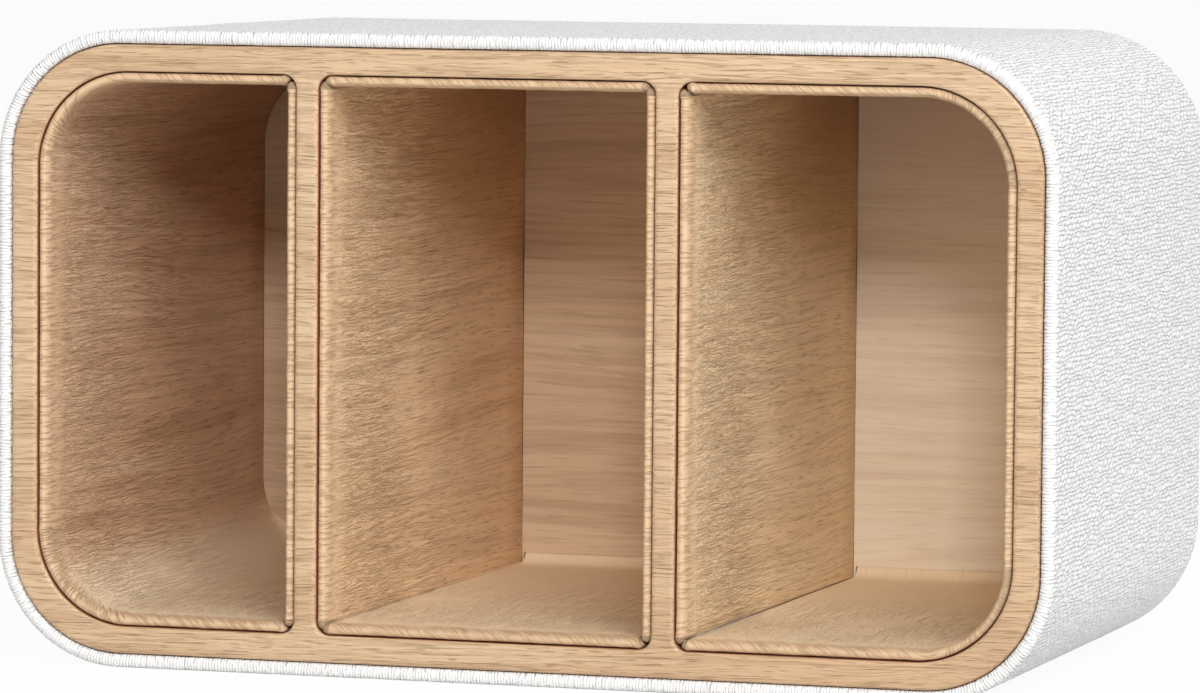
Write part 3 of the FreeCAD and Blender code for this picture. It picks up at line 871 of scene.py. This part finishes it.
colour = net.mix(figure, given["Pale"], given["Warm"])
colour = net.mix(net.times(streaks, given["Streaks"]), colour, given["Dark"])
grooves = net.times(net.times(fibres, 0.5, plus=lines), given["Lines"])
grooves = net.times(rib, given["Ribs"], plus=grooves)
colour = net.mix(grooves, colour, given["Dark"])
net.feed(out["Color"], net.mix(net.times(pores, given["Pores"]), colour, given["Dark"]))
net.feed(out["Height"], net.math("SUBTRACT", 1.0, net.times(pores, 0.4, plus=grooves)))
OAK_PRINT = net.tree
print("the oak group has", len(OAK_PRINT.nodes), "nodes")

# %% [markdown]
# ## Wrinkled skin
# Where leatherette is pulled over an edge its skin crinkles: fine crooked creases, longer in the
# direction of the pull than across it. A stretched noise passes its middle value along just such
# lines, so the distance from that value gives the creases, and the noise itself the swelling
# between them. Shade gathers in the creases, so they are given out as a mask.

# %% Build the wrinkle group
net, given, out = pattern("skin_wrinkles", {"Vector": "Vector", "Amount": 0.5, "Length": 6.0,
                                            "Width": 0.45}, {"Height": "Float", "Valley": "Float"})
x, y, z = net.split(given["Vector"])
y = net.times(net.noise(given["Vector"], (0.07, 0.3, 0.3), 1.0), 1.8, plus=y)
shaped = net.join(net.math("DIVIDE", x, given["Length"]), net.math("DIVIDE", y, given["Width"]))
crinkle = net.noise(shaped, detail=1.0, distortion=0.4)
away = net.math("ABSOLUTE", net.math("SUBTRACT", crinkle, 0.5))
crease = net.times(net.ramp(away, 0.055, 0.0), given["Amount"])
swelling = net.times(net.ramp(crinkle, 0.4, 0.6, 0.0, 0.5), given["Amount"])
net.feed(out["Height"], net.math("SUBTRACT", swelling, crease))
net.feed(out["Valley"], crease)
SKIN_WRINKLES = net.tree
print("the wrinkle group has", len(SKIN_WRINKLES.nodes), "nodes")

# %% [markdown]
# ## Linen
# The threads that run into the depth lie side by side like ribs, and every few millimetres each
# dips under a crossing thread, at a different place from its neighbours: a wall of small soft
# bricks. A slow noise pushes the threads about, and each brick has its own thickness and tone.
# Between the bricks the cloth is darker.

# %% Build the linen group
THREAD = 0.85
net, given, out = pattern("linen_weave", {"Vector": "Vector", "Thread": THREAD, "Float": 3.0,
                                          "Slub": 0.6},
                          {"Height": "Float", "Gap": "Float", "Tone": "Float"})


def wave(value, power=None):
    """The round back of each thread: a rectified sine that is flattened by a power."""
    back = net.math("ABSOLUTE", net.math("SINE", net.times(value, math.pi)))
    return back if power is None else net.math("POWER", back, power)


pushed_x = net.noise(given["Vector"], (0.3, 0.7, 0.7), 2.0)
pushed_y = net.noise(given["Vector"], (0.16, 0.4, 0.4), 2.0, shift=(30, 7, 0))
x, y, z = net.split(given["Vector"])
x = net.times(pushed_x, 2.4, plus=x)
v = net.math("DIVIDE", net.times(pushed_y, 1.8, plus=y), given["Thread"])
row = net.math("FLOOR", v)
u = net.times(row, 0.5, plus=net.math("DIVIDE", x, given["Float"]))
brick = net.join(net.times(net.math("FLOOR", u), 1.37), net.times(row, 1.61))
own = net.ramp(net.noise(brick, detail=0.0), 0.3, 0.7)
size = net.times(net.math("SUBTRACT", own, 0.5), given["Slub"], plus=0.8)
body = net.times(net.times(wave(u, 0.9), wave(v, 0.7)), size)
crossing = net.math("ABSOLUTE", net.math("SINE", net.times(x, math.pi / THREAD)))
height = net.times(crossing, 0.12, plus=body)
open_weave = net.ramp(net.noise(given["Vector"], (0.5, 1.1, 1.1), 1.0, shift=(3, 3, 0)), 0.35, 0.6)
net.feed(out["Height"], height)
net.feed(out["Gap"], net.times(net.ramp(height, 0.5, 0.1), open_weave))
net.feed(out["Tone"], own)
LINEN_WEAVE = net.tree
print("the linen group has", len(LINEN_WEAVE.nodes), "nodes")

# %% [markdown]
# ## The linen's materials
# The linen is read in its UV map, so that the threads follow the cloth round the box. At the rim
# they are worn to a soft fuzz and a plainer white, made slightly darker as painted shade.

# %% Dye the linen
def cloth_vector(net):
    """The UV map of a cover: x is along its section, into the depth, and y goes round."""
    around, along, _ = net.split(net.add("UVMap", uv_map="cloth").outputs[0])
    return net.join(along, around)


linen, net, shader = new_material("white_linen", 0.85, Sheen_Weight=0.1, Sheen_Roughness=0.5)
weave = net.place(LINEN_WEAVE, Vector=cloth_vector(net), Thread=THREAD, Float=3.0, Slub=0.5)
tone = net.mix(weave["Tone"], (0.885, 0.882, 0.875), (0.94, 0.937, 0.93))
net.feed(shader["Base Color"], net.mix(net.times(weave["Gap"], 0.8), tone, (0.44, 0.435, 0.43)))
add_bump(net, shader, weave["Height"], 0.42)

# painted shade: the rim is a slightly darker white than the cover
rim_linen_shaded, net, shader = new_material("rim_linen_shaded", 0.85, Sheen_Weight=0.1, Sheen_Roughness=0.5)
fuzz = net.ramp(net.noise(object_mm(net), (2.2, 2.2, 2.2), 2.0), 0.3, 0.65)
net.feed(shader["Base Color"], net.mix(fuzz, (0.80, 0.797, 0.79), (0.86, 0.857, 0.85)))
add_bump(net, shader, net.noise(object_mm(net), (5, 5, 5), 2.0), 0.08)

# %% [markdown]
# ## The face frame's material
# It is read in object coordinates, because the grain runs straight across rails and stiles alike.
# The edges are painted dark red-brown as painted shade in the gaps, and show as hairlines round
# the lips.

# %% Print the face frame
oak_cover, net, shader = new_material("oak_leatherette", 0.5)
grain = net.place(OAK_PRINT, Vector=swapped(net, 0, 2, 1), Pale=(0.68, 0.485, 0.30),
                  Warm=(0.61, 0.405, 0.235), Dark=(0.27, 0.135, 0.06), Streaks=0.08, Lines=0.22,
                  Ribs=0.27, Pores=0.45)
edge = net.add("Attribute", attribute_name="edge").outputs["Fac"]
# painted shade: the edges darken where they face the gaps round the lips and the rim
edge_gap_shade = net.ramp(edge, 0.10, 0.01)
net.feed(shader["Base Color"], net.mix(edge_gap_shade, grain["Color"], (0.36, 0.12, 0.06)))
net.feed(shader["Roughness"], net.ramp(edge, 0.2, 1.2, 0.3, 0.5))
add_bump(net, shader, grain["Height"], 0.16)

# %% [markdown]
# ## The linings' materials
# They are read in their UV map, because their grain runs straight in. The skin isn't the same all
# over, so three helpers each add one thing. The first are the pleats: fine grooves across the lip,
# which lean more on the floor and the ceiling than on the walls.

# %% Pleat the lip
def lip_pleats(net, place, behind, down):
    """Where the fine grooves across the lip are."""
    x, y, _ = net.split(place)
    slant = net.times(net.math("ABSOLUTE", down), 0.9)
    pleat = net.noise(net.join(x, net.times(x, slant, plus=y)), (0.2, 1.9, 1), 2.0, 0.6)
    return net.times(net.ramp(pleat, 0.50, 0.40), net.ramp(behind, 9.0, 2.0))


# %% [markdown]
# ### Crinkles
# Long folds run into the depth. In front, where the skin is stretched, they turn into small
# pebbles. Both come from the wrinkle group and show in patches.

# %% Crinkle the walls
def crinkles(net, place, behind, pebbled):
    """The height and the valleys of the long folds and of the pebbles near the front."""
    patch = net.noise(place, (0.025, 0.04, 1), 1.0, shift=(2, 8, 0))
    patch = net.ramp(patch, 0.30, 0.52, 0.4, 1.0)
    far = net.times(net.ramp(behind, 95.0, 45.0), patch)
    near = net.times(net.ramp(behind, 50.0, 28.0), net.ramp(behind, 3.0, 9.0))
    folds = net.place(SKIN_WRINKLES, Vector=place, Length=14.0, Width=0.62,
                      Amount=net.times(far, net.ramp(behind, 3.0, 12.0)))
    pebbles = net.place(SKIN_WRINKLES, Vector=net.scaled(place, (1, 1, 1), (11, 5, 0)),
                        Length=2.6, Width=0.55, Amount=net.times(near, pebbled))
    return (net.math("ADD", folds["Height"], pebbles["Height"]),
            net.math("MAXIMUM", folds["Valley"], pebbles["Valley"]))


# %% [markdown]
# ### Painted shade in the deep corners
# The photograph is darker in each last corner and high up at the back than the lamps alone make it
# here, so painted shade darkens the print there a little. That is a choice for the picture.

# %% Paint shade into the corners
def painted_corner_shade(net, behind, down, painted_top_shade):
    """How much painted shade darkens the print in the last corner and high up at the back."""
    corner = net.times(net.ramp(behind, 101.0, 113.0), net.ramp(down, 0.5, 0.1))
    above_floor = net.split(object_mm(net))[2]
    high = net.times(net.ramp(behind, 20.0, 100.0), net.ramp(above_floor, 60.0, 108.0))
    return net.math("MAXIMUM", net.times(corner, 0.4), net.times(high, painted_top_shade))


# %% [markdown]
# ### One lining's material
# The colours are laid over each other like coats: the print, painted light that pales the floor,
# the lip, painted shade in its pleats and in the valleys, painted shade in the deep corners and in
# the creases, and painted shade on the skin that is tucked in.

# %% Print one lining
# the floor colour is painted light that pales the floor
FLOOR_LIGHT_COLOUR, LIP_COLOUR = (0.98, 0.79, 0.555), (0.70, 0.49, 0.305)
# painted shade: the crease colour darkens the pinches and seams, the tucked colour the skin in the
# gap beside the frame
CREASE_SHADE_COLOUR, TUCKED_SHADE_COLOUR = (0.12, 0.05, 0.025), (0.42, 0.11, 0.05)


def lining_material(name, pale, warm, dark, floor_light, streaks, pebbled, painted_top_shade, seed):
    """Oak leatherette that is crinkled behind the lip and has fine pleats across the lip."""
    material, net, shader = new_material(name, 0.6, Specular_IOR_Level=0.25)
    place = net.scaled(cloth_vector(net), (1, 1, 1), (seed * 37.0, seed * 53.0, 0))
    behind, down, crease, tucked = (net.add("Attribute", attribute_name=key).outputs["Fac"]
                                    for key in ("behind", "down", "crease", "tucked"))
    grain = net.place(OAK_PRINT, Vector=place, Pale=pale, Warm=warm, Dark=dark,
                      Streaks=streaks, Lines=0.22, Pores=0.45, Fineness=0.75)
    groove = lip_pleats(net, place, behind, down)
    height, valley_shade = crinkles(net, place, behind, pebbled)
    colour = grain["Color"]
    # painted shade darkens the pleats' grooves and the wrinkles' valleys, as in the coats below
    for share, coat in [
            (net.ramp(down, 0.2, 0.9, 0.0, floor_light), FLOOR_LIGHT_COLOUR),
            (net.ramp(behind, 7.0, 1.0), LIP_COLOUR), (net.times(groove, 0.42), dark),
            (net.times(valley_shade, 0.24), dark), (painted_corner_shade(net, behind, down, painted_top_shade), dark),
            (net.ramp(crease, 0.2, 0.8, 0.0, 0.95), CREASE_SHADE_COLOUR), (tucked, TUCKED_SHADE_COLOUR)]:
        colour = net.mix(share, colour, coat)
    net.feed(shader["Base Color"], colour)
    height = net.times(grain["Height"], 0.3, plus=height)
    add_bump(net, shader, net.times(groove, -0.9, plus=height), 0.13)
    return material


# %% [markdown]
# ### The three linings' prints and painted light
# The left compartment is the darkest and reddest in the photograph and the right one the palest,
# so the three prints are shaded and lit copies of one print: painted shade on the left, painted
# light on the right.

# %% Print the three linings
# the pale, warm and dark print of each lining, with painted shade and light in it, how much
# painted light pales its floor, how strong its streaks are, how pebbled it is near the front and
# how much painted shade darkens the top of the back
LINING_PRINTS_AND_LIGHT = {
    "left": ((0.85, 0.585, 0.385), (0.78, 0.505, 0.32), (0.32, 0.16, 0.075), 1.0, 0.24, 0.8, 0.6),
    "middle": ((0.98, 0.725, 0.47), (0.95, 0.67, 0.415), (0.42, 0.22, 0.10), 0.9, 0.24, 0.85, 0.7),
    "right": ((0.98, 0.765, 0.51), (0.97, 0.73, 0.465), (0.42, 0.24, 0.115), 0.8, 0.15, 1.15, 0.9),
}
lining_oak = {name: lining_material(name + "_lining_oak", *prints, seed)
              for seed, (name, prints) in enumerate(LINING_PRINTS_AND_LIGHT.items(), 1)}

# %% [markdown]
# ## The back panels' materials
# The panels are smooth, with broader grain that lies level. Their prints are paler towards the
# right as painted light, and painted shade darkens them towards their top.

# %% Print the panels
# the pale, warm and dark print of each panel, paler towards the right as painted light, and how
# much painted shade darkens its top
PANEL_PRINTS_AND_LIGHT = {
    "left": ((0.78, 0.58, 0.40), (0.71, 0.51, 0.33), (0.42, 0.26, 0.15), 0.4),
    "middle": ((0.83, 0.63, 0.44), (0.76, 0.555, 0.37), (0.45, 0.28, 0.165), 0.25),
    "right": ((0.98, 0.86, 0.69), (0.97, 0.83, 0.65), (0.74, 0.56, 0.40), 0.8),
}
panel_oak = {}
for seed, (name, (pale, warm, dark, painted_top_shade)) in enumerate(PANEL_PRINTS_AND_LIGHT.items(), 1):
    panel_oak[name], net, shader = new_material(name + "_panel_oak", 0.6, Specular_IOR_Level=0.25)
    place = net.scaled(swapped(net, 0, 2, 1), (1, 1, 1), (0, 31.0 * seed, 0))
    grain = net.place(OAK_PRINT, Vector=place, Pale=pale, Warm=warm, Dark=dark, Streaks=0.3,
                      Lines=0.2, Pores=0.25, Fineness=0.6)
    # painted shade: the panel is darker towards its top
    panel_top_shade = net.times(net.ramp(net.split(object_mm(net))[2], 68.0, 108.0), painted_top_shade)
    net.feed(shader["Base Color"], net.mix(panel_top_shade, grain["Color"], dark))
    add_bump(net, shader, grain["Height"], 0.03)

# %% [markdown]
# ## The boards inside
# None of them shows on the closed box, but someone may take it apart. They keep their CAD meshes
# and get plain workshop finishes.

# %% Mix the finishes
def speckled(name, pale, dark, roughness, scale, relief):
    """Pressed fibres: soft speckles of two colours, stretched a little in one direction."""
    material, net, shader = new_material(name, roughness)
    fibres = net.noise(object_mm(net), scale, 4.0, 0.65)
    net.feed(shader["Base Color"], net.mix(net.ramp(fibres, 0.35, 0.65), pale, dark))
    add_bump(net, shader, fibres, relief)
    return material


fibreboard = speckled("pressed_fibreboard", (0.52, 0.37, 0.23), (0.40, 0.27, 0.16), 0.85,
                      (1.5, 1.5, 2.5), 0.05)
grey_card = speckled("grey_card", (0.46, 0.44, 0.40), (0.34, 0.32, 0.29), 0.9, (0.7, 0.7, 2.0),
                     0.03)
felt = speckled("black_felt", (0.055, 0.054, 0.053), (0.025, 0.025, 0.025), 1.0, (2.2, 2.2, 2.2),
                0.25)

spruce, net, shader = new_material("spruce_corner", 0.7)
grain = net.place(OAK_PRINT, Vector=swapped(net, 1, 0, 2), Pale=(0.72, 0.55, 0.35),
                  Warm=(0.62, 0.45, 0.28), Dark=(0.42, 0.28, 0.16), Streaks=0.2, Lines=0.2,
                  Pores=0.2)
net.feed(shader["Base Color"], grain["Color"])
add_bump(net, shader, grain["Height"], 0.05)

wire, net, shader = new_material("bright_wire", 0.3, Metallic=1.0)
drawn = net.noise(object_mm(net), (4, 0.3, 4), 2.0)
net.feed(shader["Base Color"], net.mix(drawn, (0.62, 0.62, 0.63), (0.42, 0.42, 0.43)))
net.feed(shader["Roughness"], net.ramp(drawn, 0.3, 0.7, 0.22, 0.4))

# %% [markdown]
# ### Which board gets which finish
# The last word of a node's name says what it is, so it also says its finish.

# %% Finish the boards
FINISHES = {"board": fibreboard, "divider": fibreboard, "card": grey_card, "shell": grey_card,
            "corner": spruce, "felt": felt, "brads": wire}
for name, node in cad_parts.items():
    finish = FINISHES.get(name.split("_")[-1])
    if finish:
        node.data.materials.clear()
        node.data.materials.append(finish)
        print(name, "is finished in", finish.name)

# %% [markdown]
# ## Dressing
# Each cover now gets its material.

# %% Dress the covers
for piece, material in [(linen_cover, linen), (frame_cover, oak_cover), (back_felt, felt),
                        *((linings[name], lining_oak[name]) for name in OPENINGS),
                        *((panels[name], panel_oak[name]) for name in OPENINGS)]:
    piece.data.materials.append(material)
    print(piece.name, "wears", material.name)

# %% [markdown]
# ## The threads of the rim
# Where the linen folds over the front edge its weave opens, and each thread over the fold shows as
# a small white nub. There are about a thousand, so Geometry Nodes set them. One thread is half a
# ring that follows the fold and thins out to both ends.

# %% Begin the tree and make one thread
net, given, out = pattern("rim_threads", {
    "Rim": "Geometry", "Spacing": 0.58 * MM, "Thread": 0.62 * MM, "Round": 1.2 * MM, "Lean": 0.18,
    "Seed": 7, "Cloth": "Material"}, {"Threads": "Geometry"}, "GeometryNodeTree")
half_ring = net.tie("GeometryNodeCurveArc", {"Resolution": 9, "Radius": given["Round"],
                                             "Start Angle": math.pi, "Sweep Angle": math.pi})
round_wire = net.tie("GeometryNodeCurvePrimitiveCircle", {
    "Resolution": 5, "Radius": net.times(given["Thread"], 0.5)})
share = net.add("GeometryNodeSplineParameter").outputs["Factor"]
taper = net.add("ShaderNodeFloatCurve", {"Value": share})
curve = taper.mapping.curves[0]
for x, y in ((0.2, 0.65), (0.5, 1.0), (0.8, 0.65)):
    curve.points.new(x, y)
curve.points[0].location, curve.points[-1].location = (0, 0.1), (1, 0.1)
taper.mapping.update()
one_thread = net.tie("GeometryNodeCurveToMesh", {
    "Curve": half_ring, "Profile Curve": round_wire, "Scale": taper.outputs[0], "Fill Caps": True})

# %% [markdown]
# ### A thread at every step
# The rim's line is cut into equal steps, and a copy of the thread stands at each, turned outwards,
# leaning and swelling a little differently. The copies become one real mesh at the end.

# %% Set a thread at every step
line = net.tie("GeometryNodeMeshToCurve", {"Mesh": given["Rim"]})
line = net.tie("GeometryNodeResampleCurve", {"Curve": line, "Length": given["Spacing"]},
               mode="LENGTH")
lean = net.add("FunctionNodeRandomValue", {2: -1.0, 3: 1.0, "Seed": given["Seed"]},
               data_type="FLOAT").outputs[1]
tangent = net.tie("GeometryNodeInputTangent")
outwards = net.tie("VectorMath", {0: tangent, 1: (0.0, -1.0, 0.0)}, operation="CROSS_PRODUCT")
leaning = net.tie("VectorMath", {0: tangent, "Scale": net.times(lean, given["Lean"])},
                  operation="SCALE")
outwards = net.tie("VectorMath", {0: outwards, 1: leaning}, operation="ADD")
turn = net.tie("FunctionNodeAlignRotationToVector", {"Vector": outwards}, axis="X", pivot_axis="Y")
swell = net.tie("FunctionNodeRandomValue", {
    0: (0.95, 0.95, 0.7), 1: (1.05, 1.07, 1.25), "Seed": given["Seed"]}, data_type="FLOAT_VECTOR")
made = net.tie("GeometryNodeInstanceOnPoints", {"Points": line, "Instance": one_thread,
                                                "Rotation": turn, "Scale": swell})
made = net.tie("GeometryNodeRealizeInstances", {"Geometry": made})
made = net.tie("GeometryNodeSetShadeSmooth", {"Geometry": made})
made = net.tie("GeometryNodeSetMaterial", {"Geometry": made, "Material": given["Cloth"]})
net.feed(out["Threads"], made)
RIM_THREADS = net.tree
print("the tree of the threads has", len(RIM_THREADS.nodes), "nodes")

# %% [markdown]
# ### The rim gets its threads
# The modifier gets the radius of the fold and the cloth, and its result is kept as a mesh.

# %% Set the threads round the rim
rim_sides, rim_radii = inset(*BOX, RIM_ROUND)
rim_points = outline(*rim_sides, rim_radii, step=2.0, arc_step=0.8)["point"]
rim_mesh = bpy.data.meshes.new("rim_line")
rim_mesh.from_pydata([(x * MM, FRONT_TURN * MM, z * MM) for x, z in rim_points],
                     [(i, (i + 1) % len(rim_points)) for i in range(len(rim_points))], [])
rim_path = put("rim_line", rim_mesh)
weaving = rim_path.modifiers.new("threads", "NODES")
weaving.node_group = RIM_THREADS
sockets = {item.name: item.identifier for item in RIM_THREADS.interface.items_tree
           if item.in_out == "INPUT"}
weaving[sockets["Round"]] = (RIM_ROUND - 0.04) * MM
weaving[sockets["Cloth"]] = rim_linen_shaded
evaluated = rim_path.evaluated_get(bpy.context.evaluated_depsgraph_get())
rim_threads = put("rim_threads", bpy.data.meshes.new_from_object(evaluated))
bpy.data.objects.remove(rim_path)
print("rim threads have", len(rim_threads.data.polygons), "faces")

# %% [markdown]
# ## Ride and replace
# Every cover rides on the box's one body and takes the place of its plain CAD solid.

# %% Helpers that put a cover in place
def cover(piece, node, slot, wide, high, area=None, held="laid", rests_on=(), with_pieces=()):
    """Let a cover ride and stand in for its node, and print its size in mm."""
    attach(piece, "root")
    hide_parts(node)
    print(node, "is cut", round(wide), "by", round(high), "mm")


def spans(sides):
    """The width and the height of an outline."""
    left, right, bottom, top = sides
    return right - left, top - bottom


def rounded_area(sides, radii):
    """The area of a rounded rectangle in square mm."""
    return math.prod(spans(sides)) - (1 - math.pi / 4) * sum(r * r for r in radii)


# %% [markdown]
# ### The sheets
# A strip is as long as its outline and as wide as its section. The face frame's sheet has its
# openings cut out and is rolled back a little over every edge, so its area is worked out too.

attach(rim_threads, "root")
linen_width = BACK_TURN - FRONT_TURN + math.pi * RIM_ROUND + MARGIN_END - FRONT_TURN + BACK_MARGIN
cover(linen_cover, "outer_wrap", "linen_cover", box_line["length"], linen_width, held="stretched",
      rests_on=["sleeve_shell"], with_pieces=[rim_threads])

ROLLED, CORNERS_CUT = FRAME_BACK - FRAME_FRONT, 0.9
wide, high = spans(frame_outer[0])
edges = 2 * (wide + high) + sum(2 * sum(spans(sides)) for sides, _ in OPENINGS.values())
frame_area = rounded_area(*frame_outer) - sum(rounded_area(*hole) for hole in OPENINGS.values())
cover(frame_cover, "frame_cover", "oak_leatherette", wide + 2 * ROLLED, high + 2 * ROLLED,
      area=frame_area + edges * ROLLED * CORNERS_CUT, held="stretched", rests_on=["frame_board"])

lining_width = LINER_MARGIN + math.pi * LIP_ROUND + LINER_BACK - LIP_END
for name, (sides, _) in OPENINGS.items():
    cover(linings[name], name + "_liner", "liner_leatherette", lining_lines[name]["length"],
          lining_width, held="stretched", rests_on=[name + "_liner_card"])
    wide, high = (span - 2 * (LIP_GAP + LIP_WIDTH) for span in spans(sides))
    cover(panels[name], name + "_back_lining", "liner_leatherette", wide, high,
          rests_on=[name + "_back_card"])
cover(back_felt, "back_felt", "felt", *spans(felt_outline[0]), area=rounded_area(*felt_outline),
      rests_on=["back_board"])

# %% [markdown]
# ## Finish
# Standard leaves the colours as they were mixed. The finished box is measured.

# %% Finish
bpy.context.scene.view_settings.view_transform = "Standard"
low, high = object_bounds()
print("visual box in mm:", [round(1000 * (b - a), 1) for a, b in zip(low, high)])
